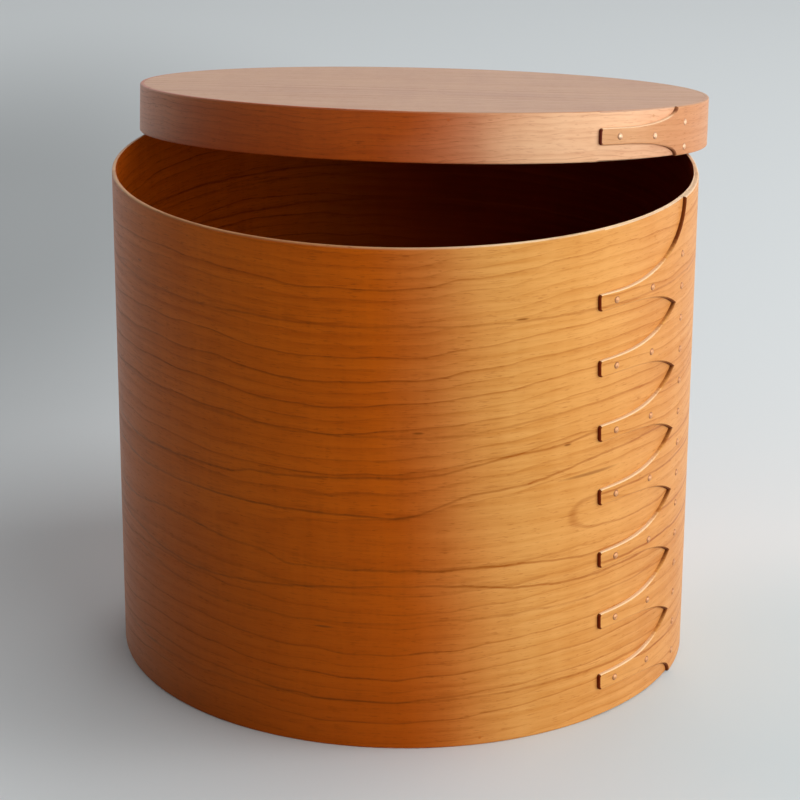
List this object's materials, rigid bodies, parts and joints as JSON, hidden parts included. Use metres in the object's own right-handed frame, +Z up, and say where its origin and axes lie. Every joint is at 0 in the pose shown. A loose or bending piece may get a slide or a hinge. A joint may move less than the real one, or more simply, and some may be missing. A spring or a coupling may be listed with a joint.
{
  "type": "bentwood pantry box",
  "caption": "Round bent-wood pantry box with a swallowtail-fingered, tacked lap, a flat bottom board and a loose lid that lifts off and lies askew on the rim.",
  "frame": {"origin": "centre of the box's base, on the box's axis", "axes": "+Z up along the box's axis, -Y the front as pictured, +X the right side, where the lap is"},
  "size_m": [0.3136, 0.3911, 0.3021],
  "materials": {
    "cherry": "satin oiled",
    "cherry_board": "satin oiled",
    "copper": "satin"
  },
  "bodies": {
    "box": {"box_band": "cherry", "box_bottom": "cherry_board", "bottom_pegs": "cherry", "finger_tip_tacks": "copper", "finger_root_tacks": "copper", "lap_row_tacks": "copper"},
    "lid": {"lid_band": "cherry", "lid_board": "cherry_board", "lid_pegs": "cherry", "lid_finger_tacks": "copper", "lid_row_tacks": "copper"}
  },
  "joints": [
    {"name": "lid_lift", "type": "slide", "parent": "box", "child": "lid", "axis": [0, 0, 1], "range_m": [0, 0.25]}
  ]
}
